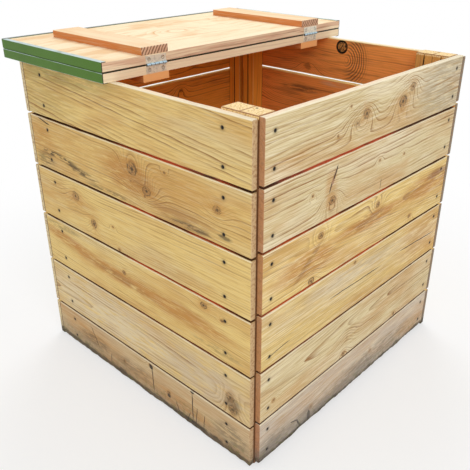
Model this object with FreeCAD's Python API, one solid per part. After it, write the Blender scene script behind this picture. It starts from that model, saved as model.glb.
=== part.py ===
import FreeCAD, Part
import os

# A compost bin: four walls of six level boards screwed to posts in the corners, with a lid in two
# hinged halves. The lid lies folded back, its front half upside down on its rear half.
# Sizes are in millimetres and +Z is up. The origin is on the ground, straight below the middle of
# the lid's fold edge, which is also the middle of the whole outline while the lid lies folded back.

# Wall boards
board_length = 800.0
board_thickness = 16.0
board_gap = 5.0
board_edge_radius = 3.0
wall_height = 862.0
# Widths of the five lower boards of each wall, from the ground up. The top board is ripped to
# whatever brings the wall to its height.
front_board_widths = (125.0, 144.0, 147.0, 144.5, 137.5)
left_board_widths = (119.5, 144.5, 146.5, 145.0, 142.5)
right_board_widths = (131.0, 144.0, 147.0, 145.0, 147.5)
back_board_widths = (120.0, 144.5, 146.0, 145.0, 141.5)
# The front wall hangs clear of the ground and stands proud of the other walls at the top.
front_lift = 8.0
front_step = 4.0

# Posts
post_side = 48.0
post_check_width = 3.0
post_check_depth = 14.0

# Screws through the boards into the posts, two at each end of a board
board_screw_length = 45.0
board_screw_edge_inset = 30.0
board_screw_shift = 5.0
wood_screw_head_diameter = 8.4
wood_screw_diameter = 4.4
wood_screw_point_length = 5.0

# Screws that tie each side post to the corner post beside it
tie_screw_length = 80.0
tie_screw_face_inset = 11.0
tie_screw_heights = (200.0, 580.0)

# Nail in the top of the front left corner post
nail_head_diameter = 6.0
nail_head_thickness = 1.2
nail_diameter = 2.8
nail_length = 40.0
nail_offset = 13.0

# Lid halves
lid_board_thickness = 20.0
lid_side_overhang = 28.0
lid_end_overhang = 20.0
lid_sideways_shift = 8.0
cover_thickness = 1.5
cover_flange_width = 12.0
cover_corner_radius = 7.0
folded_cover_gap = 1.0

# Battens under the lid halves
batten_width = 78.0
batten_thickness = 18.0
batten_post_clearance = 19.0
batten_wall_clearance = 14.0
batten_screw_count = 3
batten_screw_end_inset = 40.0
batten_screw_point_cover = 4.0

# Hinges
hinge_length = 60.0
hinge_leaf_thickness = 1.5
hinge_pin_diameter = 2.9
hinge_pin_running_gap = 0.05
hinge_knuckle_count = 5
hinge_knuckle_gap = 0.4
hinge_leaf_edge_margin = 2.0
hinge_barrel_clearance = 0.3
hinge_screw_spacing = 41.0
hinge_screw_length = 18.0
hinge_screw_head_diameter = 7.2
hinge_screw_diameter = 3.4
hinge_screw_point_length = 3.0

# Places worked out from the sizes
half_board = board_length / 2
half_outside = half_board + board_thickness
lid_width = 2 * (half_outside + lid_side_overhang)
lid_depth = half_outside + lid_end_overhang
bin_x = -lid_sideways_shift
bin_y = half_outside - lid_depth
front_top = wall_height + front_step
lid_board_top = wall_height + lid_board_thickness
fold_axis_z = lid_board_top + cover_thickness + folded_cover_gap / 2
hinge_bore_radius = hinge_pin_diameter / 2 + hinge_pin_running_gap
hinge_barrel_radius = hinge_bore_radius + hinge_leaf_thickness
fold_axis_y = -hinge_barrel_radius
corner_post_middle = half_board - post_side / 2
side_post_middle = corner_post_middle - post_side
post_inner_face = half_board - post_side
batten_centre_x = post_inner_face - batten_post_clearance - batten_width / 2
batten_length = half_board + bin_y - batten_wall_clearance

Vector = FreeCAD.Vector
UP = Vector(0, 0, 1)
SIDES = {"left": -1, "right": 1}


def box(low, high):
    """A block between two opposite corners."""
    size = Vector(*high) - Vector(*low)
    return Part.makeBox(size.x, size.y, size.z, Vector(*low))


def edges_along(block, direction):
    """The straight edges of a block that run along a direction."""
    return [edge for edge in block.Edges if abs(edge.tangentAt(edge.FirstParameter).dot(direction)) > 0.999]


def countersunk_screw(place, direction, length, diameter, head_diameter, point_length):
    """A screw whose flat head lies flush at a place on a surface, pointing along a direction."""
    head_depth = (head_diameter - diameter) / 2
    head = Part.makeCone(head_diameter / 2, diameter / 2, head_depth, place, direction)
    shank_length = length - head_depth - point_length
    shank = Part.makeCylinder(diameter / 2, shank_length, place + direction * head_depth, direction)
    point_start = place + direction * (length - point_length)
    point = Part.makeCone(diameter / 2, diameter / 8, point_length, point_start, direction)
    return head.fuse([shank, point]).removeSplitter()


def wood_screw(place, direction, length):
    return countersunk_screw(place, direction, length, wood_screw_diameter,
                             wood_screw_head_diameter, wood_screw_point_length)


def cut_all(shape, tools):
    """Cut away every tool that reaches into the shape."""
    near = [tool for tool in tools if tool.BoundBox.intersect(shape.BoundBox)]
    if near:
        shape = shape.cut(near)
    return shape.Solids[0] if len(shape.Solids) == 1 else shape


class Wall:
    """One wall, drawn as seen from outside: x to the right, y inward from the outer face.

    It is turned about the bin's middle to its side. Its boards are slid along it to the right by
    slide, so that they cover the ends of the next wall's boards or stop short of them.
    """

    def __init__(self, turn, lower_widths, bottom, top, slide, posts):
        self.lower_widths = lower_widths
        self.bottom = bottom
        self.top = top
        self.start = slide - half_board
        self.posts = posts
        middle = FreeCAD.Placement(Vector(bin_x, bin_y, 0), FreeCAD.Rotation(UP, turn))
        self.place = middle.multiply(FreeCAD.Placement(Vector(0, -half_outside, 0), FreeCAD.Rotation()))

    def levels(self):
        """The bottom and top of each board, from the ground up."""
        found = []
        low = self.bottom
        for width in self.lower_widths:
            found.append((low, low + width))
            low += width + board_gap
        found.append((low, self.top))
        return found

    def screw_columns(self):
        """Across the wall, the middle of what each post shares with the boards, moved inward a little."""
        columns = []
        for post_middle in self.posts:
            left = max(self.start, post_middle - post_side / 2)
            right = min(self.start + board_length, post_middle + post_side / 2)
            inward = board_screw_shift if post_middle < 0 else -board_screw_shift
            columns.append((left + right) / 2 + inward)
        return columns

    def screws(self):
        found = []
        for low, high in self.levels():
            for z in (low + board_screw_edge_inset, high - board_screw_edge_inset):
                for x in self.screw_columns():
                    screw = wood_screw(Vector(x, 0, z), Vector(0, 1, 0), board_screw_length)
                    found.append(screw.transformed(self.place.Matrix))
        return found

    def boards(self, screws):
        """The boards with their long edges rounded and their screw holes cut."""
        found = []
        for low, high in self.levels():
            board = box((self.start, 0, low), (self.start + board_length, board_thickness, high))
            board = board.makeFillet(board_edge_radius, edges_along(board, Vector(1, 0, 0)))
            found.append(cut_all(board.transformed(self.place.Matrix), screws))
        return found


def make_walls():
    """The four walls. The corner posts belong to the front and back, the side posts to the sides."""
    slide = board_thickness
    corner = corner_post_middle
    near = side_post_middle
    return {
        "front": Wall(0, front_board_widths, front_lift, front_top, 0.0, (-corner, corner)),
        "left": Wall(-90, left_board_widths, 0.0, wall_height, 0.0, (-near, near)),
        "right": Wall(90, right_board_widths, 0.0, wall_height, -slide, (-near, near - slide)),
        "back": Wall(180, back_board_widths, 0.0, wall_height, slide, (-corner, corner)),
    }


def make_post(x, y, height, checked):
    """A post about its middle. A checked one has split along the face that looks left."""
    half = post_side / 2
    post = box((x - half, y - half, 0), (x + half, y + half, height))
    if checked:
        mouth = Vector(x - half, y, 0)
        across = Vector(0, post_check_width / 2, 0)
        root = mouth + Vector(post_check_depth, 0, 0)
        outline = Part.makePolygon([mouth - across, root, mouth + across, mouth - across])
        post = post.cut(Part.Face(outline).extrude(UP * height))
    return post


def make_posts():
    """Four corner posts, and beside each a side post for the left or right wall."""
    posts = {}
    for side, sign in SIDES.items():
        x = bin_x + sign * corner_post_middle
        slide = board_thickness if side == "right" else 0.0
        split = side == "right"
        for end, toward, height in (("front", -1, front_top), ("back", 1, wall_height)):
            corner_y = bin_y + toward * corner_post_middle
            side_y = bin_y + toward * side_post_middle
            if end == "back":
                side_y -= slide
            posts["corner_post_" + end + "_" + side] = make_post(x, corner_y, height, split)
            posts["side_post_" + end + "_" + side] = make_post(x, side_y, height, split and end == "front")
    return posts


def tie_screws(posts):
    """Screws through each side post into the corner post beside it."""
    found = []
    for side, sign in SIDES.items():
        x = bin_x + sign * (post_inner_face + tie_screw_face_inset)
        for end, toward in (("front", -1), ("back", 1)):
            bounds = posts["side_post_" + end + "_" + side].BoundBox
            y = bounds.YMax if toward < 0 else bounds.YMin
            for z in tie_screw_heights:
                found.append(wood_screw(Vector(x, y, z), Vector(0, toward, 0), tie_screw_length))
    return found


def post_nail():
    """The nail driven flush into the top of the front left corner post."""
    inset = corner_post_middle - nail_offset
    place = Vector(bin_x - inset, bin_y - inset, front_top)
    head = Part.makeCylinder(nail_head_diameter / 2, nail_head_thickness, place, -UP)
    shank = Part.makeCylinder(nail_diameter / 2, nail_length, place, -UP)
    return head.fuse(shank).removeSplitter()


def make_bin():
    """The walls with their boards, posts and screws."""
    nodes = {}
    walls = make_walls()
    posts = make_posts()
    ties = tie_screws(posts)
    nail = post_nail()
    fasteners = ties + [nail]
    for name, wall in walls.items():
        screws = wall.screws()
        fasteners += screws
        for course, board in enumerate(wall.boards(screws), start=1):
            nodes[name + "_board_" + str(course)] = board
        nodes[name + "_board_screws"] = screws
    for name, post in posts.items():
        nodes[name] = cut_all(post, fasteners)
    nodes["corner_tie_screws"] = ties
    nodes["corner_post_nail"] = nail
    return nodes


def rounded_lid_block(inset, bottom, top, corner_radius):
    """A lid half's outline, drawn in from its left, right and outer edges, with rounded outer corners."""
    half_width = lid_width / 2 - inset
    far = lid_depth - inset
    block = box((-half_width, 0, bottom), (half_width, far, top))
    corners = [edge for edge in edges_along(block, UP) if edge.CenterOfMass.y > far / 2]
    return block.makeFillet(corner_radius, corners)


def lid_cover(board):
    """The green sheet over a lid half, wrapped down three edges and turned in underneath."""
    low = wall_height - cover_thickness
    sheet = rounded_lid_block(0.0, low, lid_board_top + cover_thickness, cover_corner_radius)
    half_opening = lid_width / 2 - cover_flange_width
    opening = box((-half_opening, 0, low), (half_opening, lid_depth - cover_flange_width, wall_height))
    return sheet.cut([board, opening])


def batten_screws():
    """Screws down through a lid half's board into its battens, flush under the cover."""
    length = lid_board_thickness + batten_thickness - batten_screw_point_cover
    pitch = (batten_length - 2 * batten_screw_end_inset) / (batten_screw_count - 1)
    found = []
    for sign in SIDES.values():
        for number in range(batten_screw_count):
            y = batten_screw_end_inset + number * pitch
            found.append(wood_screw(Vector(sign * batten_centre_x, y, lid_board_top), -UP, length))
    return found


def hinge_screws():
    """The screws that hold one leaf of each hinge to a lid half's fold edge."""
    z = wall_height + lid_board_thickness / 2
    found = []
    for sign in SIDES.values():
        for step in (-0.5, 0.5):
            place = Vector(sign * batten_centre_x + step * hinge_screw_spacing, -hinge_leaf_thickness, z)
            found.append(countersunk_screw(place, Vector(0, 1, 0), hinge_screw_length, hinge_screw_diameter,
                                           hinge_screw_head_diameter, hinge_screw_point_length))
    return found


def hinge_leaf(centre_x, knuckles):
    """A leaf on the lower half's fold edge, rolled round the pin at the knuckles it holds."""
    start = centre_x - hinge_length / 2
    bottom = wall_height + hinge_leaf_edge_margin
    shoulder = fold_axis_z - hinge_barrel_radius - hinge_barrel_clearance
    pieces = [box((start, -hinge_leaf_thickness, bottom), (start + hinge_length, 0, shoulder))]
    pitch = hinge_length / hinge_knuckle_count
    for number in knuckles:
        low = start + number * pitch + hinge_knuckle_gap / 2
        high = low + pitch - hinge_knuckle_gap
        along = Vector(1, 0, 0)
        roll = Part.makeCylinder(hinge_barrel_radius, high - low, Vector(low, fold_axis_y, fold_axis_z), along)
        pieces.append(roll)
        pieces.append(box((low, -hinge_leaf_thickness, shoulder), (high, 0, fold_axis_z)))
    leaf = pieces[0].fuse(pieces[1:])
    bore_start = Vector(start, fold_axis_y, fold_axis_z)
    bore = Part.makeCylinder(hinge_bore_radius, hinge_length, bore_start, Vector(1, 0, 0))
    return leaf.cut(bore).removeSplitter()


def hinge_pin(centre_x):
    start = Vector(centre_x - hinge_length / 2, fold_axis_y, fold_axis_z)
    return Part.makeCylinder(hinge_pin_diameter / 2, hinge_length, start, Vector(1, 0, 0))


def make_lid_half(first_knuckle):
    """A lid half lying right way up on the rear of the walls, with the hinge leaves it carries."""
    board = rounded_lid_block(cover_thickness, wall_height, lid_board_top, cover_corner_radius - cover_thickness)
    down_screws = batten_screws()
    edge_screws = hinge_screws()
    nodes = {
        "lid_board": cut_all(board, down_screws + edge_screws),
        "lid_cover": lid_cover(board),
        "batten_screws": down_screws,
        "hinge_screws": edge_screws,
    }
    knuckles = range(first_knuckle, hinge_knuckle_count, 2)
    for side, sign in SIDES.items():
        middle = sign * batten_centre_x
        batten = box((middle - batten_width / 2, 0, wall_height - batten_thickness),
                     (middle + batten_width / 2, batten_length, wall_height))
        nodes["lid_batten_" + side] = cut_all(batten, down_screws)
        nodes["hinge_leaf_" + side] = cut_all(hinge_leaf(middle, knuckles), edge_screws)
    return nodes


def make_lid():
    """The rear half, and the front half as its mirror image above the fold."""
    nodes = {}
    for name, shape in make_lid_half(0).items():
        nodes["rear_" + name] = shape
    for name, shape in make_lid_half(1).items():
        solids = shape if isinstance(shape, list) else [shape]
        nodes["front_" + name] = [solid.mirror(Vector(0, 0, fold_axis_z), UP) for solid in solids]
    for side, sign in SIDES.items():
        nodes["hinge_pin_" + side] = hinge_pin(sign * batten_centre_x)
    return nodes


def export(nodes):
    os.makedirs("parts", exist_ok=True)
    for name, shape in nodes.items():
        solids = shape if isinstance(shape, list) else [shape]
        whole = solids[0] if len(solids) == 1 else Part.makeCompound(solids)
        whole.exportStep("parts/" + name + ".step")


export({**make_bin(), **make_lid()})
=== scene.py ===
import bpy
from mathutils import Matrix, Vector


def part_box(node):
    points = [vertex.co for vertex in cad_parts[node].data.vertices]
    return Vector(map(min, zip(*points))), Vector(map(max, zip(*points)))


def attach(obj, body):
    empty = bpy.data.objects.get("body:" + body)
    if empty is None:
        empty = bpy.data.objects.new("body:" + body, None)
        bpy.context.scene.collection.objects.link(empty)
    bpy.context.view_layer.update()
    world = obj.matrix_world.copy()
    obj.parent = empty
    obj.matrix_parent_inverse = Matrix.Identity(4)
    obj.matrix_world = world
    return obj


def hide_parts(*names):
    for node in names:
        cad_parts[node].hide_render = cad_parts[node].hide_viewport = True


bl_info = {
    "name": "Compost Bin with Lid",
    "version": (1, 0, 0),
    "blender": (4, 5, 0),
    "location": "3D View > Sidebar > Compost Bin",
    "description": "Dresses the boards, posts, folding lid and ironmongery of a timber compost bin",
    "category": "Object",
}

from collections import namedtuple
from functools import reduce
import math
import random

import bmesh
import bpy
from bpy.props import FloatProperty, FloatVectorProperty, PointerProperty
from mathutils import Matrix, Vector, noise

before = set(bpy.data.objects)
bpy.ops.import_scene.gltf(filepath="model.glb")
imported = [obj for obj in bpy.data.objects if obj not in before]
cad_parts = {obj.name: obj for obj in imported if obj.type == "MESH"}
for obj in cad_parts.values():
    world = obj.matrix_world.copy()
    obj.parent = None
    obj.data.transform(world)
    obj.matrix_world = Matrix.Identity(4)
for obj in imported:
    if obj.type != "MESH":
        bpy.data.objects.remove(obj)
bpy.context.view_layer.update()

WALLS = {
    # name: (axis along the boards, axis through them, where the outer face is, which way is inward)
    "front": (0, 1, -0.436, 1),
    "back": (0, 1, 0.396, -1),
    "left": (1, 0, -0.424, 1),
    "right": (1, 0, 0.408, -1),
}
SEEN_WALLS = ("front", "left")
BOARD_THICKNESS = 0.016
KNOT_RADIUS = 0.0152
CLOSE = 1e-6  # metres within which two corners are one
LEVEL = 1e-5  # metres within which corners lie in one plane
# Where the seeds of the posts' and the lid's noise start. Those of the boards start at 0
POST_SEEDS = 40
LID_SEEDS = 60


# Shader maths

class Value:
    """A socket of a finish's node tree. Sums of these read as plain Python and add their Math nodes."""

    def __init__(self, finish, socket):
        self.finish = finish
        self.socket = socket

    def math(self, operation, *others):
        return self.finish.maths(operation, self, *others)

    def __add__(self, other):
        return self.math("ADD", other)

    __radd__ = __add__

    def __sub__(self, other):
        return self.math("SUBTRACT", other)

    def __rsub__(self, other):
        return self.finish.maths("SUBTRACT", other, self)

    def __mul__(self, other):
        return self.math("MULTIPLY", other)

    __rmul__ = __mul__

    def __truediv__(self, other):
        return self.math("DIVIDE", other)

    def __pow__(self, other):
        return self.math("POWER", other)

    def __neg__(self):
        return self * -1.0

    def __abs__(self):
        return self.math("ABSOLUTE")

    def max(self, other):
        return self.math("MAXIMUM", other)

    def min(self, other):
        return self.math("MINIMUM", other)

    def sine(self):
        return self.math("SINE")

    def fraction(self):
        return self.math("FRACT")

    def step(self, low, high, most=1.0):
        """0 below low and most above high, smooth between them."""
        return self.finish.smooth(self, low, high, 0.0, most)

    def fall(self, low, high, most=1.0):
        """Most below low and 0 above high, smooth between them."""
        return self.finish.smooth(self, low, high, most, 0.0)


class Finish:
    """One material and its node tree. Places are those of the object at rest, in metres."""

    def __init__(self, name, owner=None):
        self.material = owner or bpy.data.materials.new(name)
        self.material.use_nodes = True
        self.tree = self.material.node_tree
        self.tree.nodes.clear()

    def node(self, kind, settings, sockets, output=0):
        """Add a node: first its settings, then the values or links of its sockets."""
        made = self.tree.nodes.new(kind)
        for key, value in settings.items():
            setattr(made, key, value)
        for key, value in sockets.items():
            if isinstance(value, Value):
                self.tree.links.new(value.socket, made.inputs[key])
            else:
                made.inputs[key].default_value = value
        return Value(self, made.outputs[output]) if made.outputs else None

    def maths(self, operation, *values):
        return self.node("ShaderNodeMath", {"operation": operation}, dict(enumerate(values)))

    def smooth(self, value, low, high, first, last):
        sockets = {0: value, 1: low, 2: high, 3: first, 4: last}
        return self.node("ShaderNodeMapRange", {"interpolation_type": "SMOOTHSTEP"}, sockets)

    def parts(self, vector):
        """The x, y and z of a vector."""
        whole = self.node("ShaderNodeSeparateXYZ", {}, {0: vector}).socket.node
        return [Value(self, output) for output in whole.outputs]

    def place(self):
        """A point of the object at rest."""
        return self.node("ShaderNodeTexCoord", {}, {}, "Object")

    def vector(self, x, y, z=0.0):
        return self.node("ShaderNodeCombineXYZ", {}, {0: x, 1: y, 2: z})

    def scaled(self, at, scale, shift=(0.0, 0.0, 0.0)):
        """A place times a scale, plus a shift."""
        return self.node("ShaderNodeVectorMath", {"operation": "MULTIPLY_ADD"}, {0: at, 1: scale, 2: shift})

    def about(self, at, middle, turn, size):
        """A place seen from a middle, turned in the xy plane, in units of a size."""
        sockets = {"Vector": at, "Location": middle, "Rotation": (0.0, 0.0, turn), "Scale": size}
        return self.node("ShaderNodeMapping", {"vector_type": "TEXTURE"}, sockets)

    def length(self, vector):
        return self.node("ShaderNodeVectorMath", {"operation": "LENGTH"}, {0: vector}, "Value")

    def distance(self, x, y):
        return self.length(self.vector(x, y))

    def noise(self, at, scale, detail, roughness=0.5):
        sockets = {"Vector": at, "Scale": scale, "Detail": detail, "Roughness": roughness}
        return self.node("ShaderNodeTexNoise", {}, sockets)

    def mix(self, share, first, second):
        """A colour between two colours."""
        colours = {0: share, 6: self.colour(first), 7: self.colour(second)}
        return self.node("ShaderNodeMix", {"data_type": "RGBA"}, colours, 2)

    @staticmethod
    def colour(tone):
        if isinstance(tone, Coats):
            return tone.tone
        return tone if isinstance(tone, Value) else (*tone[:3], 1.0)

    def surface(self, colour, roughness, height, depth, strength, metallic=0.0, specular=0.5):
        """The shader, with a height that raises its surface by a depth. Returns the material."""
        normal = self.node("ShaderNodeBump", {}, {"Height": height, "Distance": depth, "Strength": strength})
        self.output(self.node("ShaderNodeBsdfPrincipled", {}, {
            "Base Color": self.colour(colour), "Roughness": roughness, "Metallic": metallic,
            "Specular IOR Level": specular, "Normal": normal}))
        return self.material

    def output(self, shader, kind="ShaderNodeOutputMaterial"):
        self.node(kind, {}, {"Surface": shader})


class Coats:
    """A colour that is built up coat by coat."""

    def __init__(self, finish, tone):
        self.finish = finish
        self.tone = tone

    def lay(self, tone, share):
        """Lay another tone over those so far. Its share of the colour is from 0 to 1."""
        self.tone = self.finish.mix(share, self.tone, tone)
        return self


def linear(red, green, blue):
    """A colour given as a screen shows it, from 0 to 255, as the linear values that shaders use."""
    def one(level):
        level /= 255.0
        return level / 12.92 if level <= 0.04045 else ((level + 0.055) / 1.055) ** 2.4
    return one(red), one(green), one(blue)


# What a user would change

def colour_property(name, description, tone):
    return FloatVectorProperty(name=name, description=description, default=linear(*tone), min=0.0, max=1.0,
                               size=3, subtype="COLOR")


def power_property(name, description, watts):
    return FloatProperty(name=name, description=description, default=watts, min=0.0, unit="POWER")


def length_property(name, description, metres, least=0.0):
    return FloatProperty(name=name, description=description, default=metres, min=least, unit="LENGTH")


class TimberLook(bpy.types.PropertyGroup):
    """Colours and grain of the boards and posts."""
    straw: colour_property("Straw", "Pale wood between the rings of the front boards", (224, 206, 160))
    honey: colour_property("Honey", "Pale wood between the rings of the left boards", (238, 206, 130))
    grain: colour_property("Grain", "Darker fibres", (184, 144, 82))
    late: colour_property("Late wood", "Dark lines of the growth rings", (148, 102, 50))
    knot: colour_property("Knot", "Knots", (150, 98, 64))
    stain: colour_property("Stain", "Brown stains", (198, 140, 68))
    mould: colour_property("Mould", "Grey-black stains", (64, 54, 40))
    crack: colour_property("Crack", "Splits", (34, 24, 16))
    # this green is also the painted green shade and reflection of the lid along the top of the left wall
    moss_and_lid_reflection: colour_property("Moss", "Green tinge at the foot", (112, 112, 52))
    ash: colour_property("Ash", "Grey weathering of the lowest boards", (112, 104, 98))
    soil: colour_property("Soil", "Worn and dirty lower edge", (66, 56, 44))
    silver: colour_property("Silver", "Weathered wood of the front's lowest board", (202, 188, 172))
    rose: colour_property("Rose", "Weathered wood of the other lowest boards", (206, 176, 136))
    # cream is also the painted highlight on the boards' upper arris and along the top boards' top edges
    cream_and_highlight: colour_property("Cream", "Bleached upper edges", (250, 238, 208))
    inside: colour_property("Inside", "Wood of the walls' inner faces", (255, 172, 46))
    inside_right: colour_property("Inside right", "Wood of the right wall's inner face", (255, 160, 76))
    gap: colour_property("Gap", "Shaded edges inside the gaps", (92, 48, 24))
    lit_gap: colour_property("Lit gap", "Edges in the gaps, seen from inside", (255, 226, 150))
    glow: colour_property("Glow", "Light coming through the gaps", (236, 112, 62))
    post: colour_property("Post", "Pale wood of the posts", (255, 196, 100))
    post_end: colour_property("Board end", "Sawn ends of the front boards", (180, 120, 76))
    post_top: colour_property("Post top", "Sawn tops of the posts", (250, 220, 160))
    ring_spacing: length_property("Ring spacing", "Distance between growth rings", 0.0062, 0.001)
    edge_wear: length_property("Edge wear", "How far the boards' edges are worn back", 0.0012)
    ragged_edge: length_property("Ragged edge", "How far the lowest edges are chipped away", 0.007)


class LidLook(bpy.types.PropertyGroup):
    """Colours of the lid."""
    panel: colour_property("Panel", "Pale wood of the lid's boards", (255, 237, 200))
    panel_grain: colour_property("Panel grain", "Rings of the lid's boards", (230, 174, 106))
    panel_edge: colour_property("Panel edge", "Sawn edge of the lid's boards", (228, 190, 158))
    batten: colour_property("Batten", "Sides of the battens", (214, 130, 66))
    batten_face: colour_property("Batten face", "Broad outer faces of the battens", (255, 230, 190))
    # painted light: the lower battens' ends, in the lid's shade, are painted brighter
    batten_end: colour_property("Batten end", "Lower battens' ends at the fold of the lid", (255, 190, 124))
    paint: colour_property("Paint", "Painted face of the covers", (72, 114, 8))
    cut_edge: colour_property("Cut edge", "Cut edge of the covers at the fold of the lid", (58, 48, 38))
    # pale blue-white for the covers' turned-in edge, their dust specks and the rear cover's worn top edge
    back_coat: colour_property("Back coat", "Turned-in edge of the covers", (196, 214, 214))


class MetalLook(bpy.types.PropertyGroup):
    """Colours of the ironmongery."""
    zinc: colour_property("Zinc", "Zinc plate of the hinges", (244, 240, 222))
    dull_zinc: colour_property("Dull zinc", "Dull patches of the hinges", (190, 188, 176))
    blue_zinc: colour_property("Blue zinc", "Barrels of the hinges", (176, 216, 240))
    screw: colour_property("Screw", "Dark coat of the screws", (34, 30, 27))


class StageLook(bpy.types.PropertyGroup):
    """The floor, lamps and camera."""
    floor: colour_property("Floor", "Studio floor", (248, 248, 248))
    key_power: power_property("Key lamp", "Power of the large lamp above the camera", 33.0)
    fill_power: power_property("Fill lamp", "Power of the lamp that reaches under the lid", 10.0)
    top_power: power_property("Top lamp", "Power of the lamp above and behind the bin", 42.0)
    sky: FloatProperty(name="Sky", description="Level of the even light from all round", default=0.68, min=0.0)
    lens: FloatProperty(name="Lens", description="Focal length of the camera", default=46.82, min=10.0,
                        unit="CAMERA")


# Timber

# How a board was sawn from its log: where the pith lies from the board's middle and outer face, how it leans
# away along the board, how far the rings wander, and how strongly they show
Cut = namedtuple("Cut", "pith lean spacing wander contrast")
# A knot, by its place along and up the wall, and the rings that sweep round it
Knot = namedtuple("Knot", "along up radius stretch swirl reach depth", defaults=(1.3, 4.0, 3.2, 1.0))
# A soft-edged patch of another colour
Stain = namedtuple("Stain", "along up length height tone strength slope", defaults=(0.6, 0.0))
# A dark split from one place to another
Crack = namedtuple("Crack", "start end width wobble", defaults=(0.004,))


class Timber:
    """The finish of one piece of wood, built up mark by mark."""

    def __init__(self, name, axes, signs, origin, seed):
        self.finish = Finish(name)
        self.seed = seed
        place = self.finish.parts(self.finish.place())
        self.along, self.across, self.deep = [place[axis] * sign - start
                                              for axis, sign, start in zip(axes, signs, origin)]
        self.at = self.finish.vector(self.along, self.across, self.deep)
        self.marks_from = 0.0  # the height above the ground that marks are measured from
        self.height = 0.0
        self.knot_bodies = 0.0

    def coats(self, tone):
        return Coats(self.finish, tone)

    def noise(self, along, across, shift=0.0, detail=2.0, roughness=0.5):
        """Noise that is drawn out along the grain."""
        at = self.finish.scaled(self.at, (along, across, across), (0.0, 0.0, self.seed * 3.7 + shift))
        return self.finish.noise(at, 1.0, detail, roughness)

    def patches(self, along=3.0, across=10.0, shift=20.0):
        return self.noise(along, across, shift, 3.0, 0.6)

    def from_place(self, along, up, scale=(1.0, 1.0)):
        """Distance from a mark's middle, with a scale along the grain and one across it."""
        shift = (-along * scale[0], (self.marks_from - up) * scale[1], 0.0)
        return self.finish.length(self.finish.scaled(self.at, (*scale, 0.0), shift))

    def grow(self, cut, spacing, knots=()):
        """The growth rings, from 0 to 1 where the late wood is darkest, and the fibres."""
        drift = self.noise(1.8, 5.0, detail=1.0) * (cut.wander * 2)
        sway = self.noise(1.3, 3.0, 40.0, 1.0) * (cut.wander * 4)
        side = self.across - self.along * cut.lean[0] + drift - (cut.pith[0] + cut.wander)
        depth = self.deep - self.along * cut.lean[1] + sway - (cut.pith[1] + cut.wander * 2)
        count = self.finish.distance(side, depth) / (spacing * cut.spacing)
        count = count + self.noise(7.0, 40.0, 11.0, 3.0) * 1.1
        swirls = 0.3
        self.from_knots = [(knot, self.from_place(knot.along, knot.up, (1 / knot.stretch, 1.0)))
                           for knot in knots]
        for knot, away in self.from_knots:
            near = away ** 2.0 * (-1.0 / (knot.radius * knot.reach) ** 2)
            swirl = near.math("EXPONENT") * knot.swirl
            count = count + swirl
            swirls = swirl * 0.16 + swirls
        phase = count.fraction()
        sockets = {"W": count.math("FLOOR")}
        ring = self.finish.node("ShaderNodeTexWhiteNoise", {"noise_dimensions": "1D"}, sockets)
        fading = self.noise(5.0, 24.0, 31.0, 1.0).step(0.35, 0.62, 0.7)
        self.line = phase ** 2.2 * phase.fall(0.92, 1.0) * (ring ** 2.0 * 1.2 + 0.25) * (fading + swirls)
        self.fibre = self.noise(14.0, 520.0, 5.0, 3.0, 0.6)
        return self.line, self.fibre

    def add_knots(self, base, look):
        """Paint the knots, with their broken dark rim, own rings, splits and warm surround."""
        if not self.from_knots:
            return
        cloud = self.noise(70.0, 70.0, 3.0)
        uneven = cloud * 1.2 + 0.4
        split = self.noise(260.0, 260.0, 9.0, 1.0).step(0.52, 0.66)
        broken = cloud.step(0.35, 0.6)
        bodies = []
        for knot, away in self.from_knots:
            near = away * uneven / knot.radius
            base.lay(look.stain, near.fall(0.8, 2.6, 0.4 * knot.depth))
            body = near.fall(0.7, 1.1, min(1.0, 0.65 * knot.depth))
            rings = (near * 13.0).sine() * 0.5 + 0.45
            base.lay(self.finish.mix(rings, look.grain, look.knot), body)
            base.lay(look.mould, body * split)
            base.lay(look.mould, near.fall(0.15, 0.5, min(0.9, 0.8 * knot.depth)))
            base.lay(look.mould, near.step(0.75, 0.95) * near.fall(1.0, 1.25, 0.8 * knot.depth) * broken)
            bodies.append(body)
        self.knot_bodies = reduce(Value.max, bodies)
        self.height = self.knot_bodies * 0.5

    def add_stains(self, base, stains, look, spotty=False):
        """Paint the broad patches, or those of mould and soil, which break up into spots."""
        grain, edges = ((24.0, 130.0), (0.42, 0.54)) if spotty else ((16.0, 90.0), (0.30, 0.55))
        for stain in stains:
            if (stain.tone in ("mould", "soil")) == spotty:
                middle = (stain.along, stain.up - self.marks_from, 0.0)
                size = (stain.length, stain.height, 1e6)
                near = self.finish.length(self.finish.about(self.at, middle, math.atan(stain.slope), size))
                patch = self.noise(*grain, stain.up * 9, 4.0, 0.7).step(*edges, stain.strength)
                base.lay(getattr(look, stain.tone), near.fall(0.35, 1.0) * patch)

    def add_cracks(self, base, cracks, look):
        if not cracks:
            return
        wobble = self.noise(40.0, 40.0, 71.0) - 0.5
        for crack in cracks:
            (along, up), (far_along, far_up) = crack.start, crack.end
            run, rise = far_along - along, far_up - up
            middle = ((along + far_along) / 2, (up + far_up) / 2 - self.marks_from, 0.0)
            size = (math.hypot(run, rise) / 2, 1.0, 1.0)
            seen = self.finish.about(self.at, middle, math.atan2(rise, run), size)
            forward, aside = self.finish.parts(seen)[:2]
            forward = abs(forward)
            narrow = forward.fall(0.5, 1.0, crack.width)
            mask = (abs(aside + wobble * crack.wobble) / narrow).fall(0.5, 1.0) * forward.fall(0.95, 1.0, 0.9)
            base.lay(look.crack, mask)
            self.height = self.height - mask * 3.0

    def darken_round_screws(self, base, screws, look):
        """Darken the wood round the screws."""
        near = reduce(Value.min, [self.from_place(along, up) for along, up in screws])
        base.lay(look.soil, near.fall(0.0040, 0.0058, 0.8).max(near.fall(0.004, 0.012, 0.25)))

    def done(self, base, roughness=0.62):
        """Close the finish off with its roughness and its raised grain."""
        height = self.height + self.fibre * 0.5 + self.line * 0.5
        roughness = self.fibre * 0.14 + (roughness - self.line * 0.08)
        return self.finish.surface(base, roughness, height, 0.0007, 0.5, specular=0.28)


# The boards' own marks, by their places on the wall in metres: along it, then up from the ground

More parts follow.
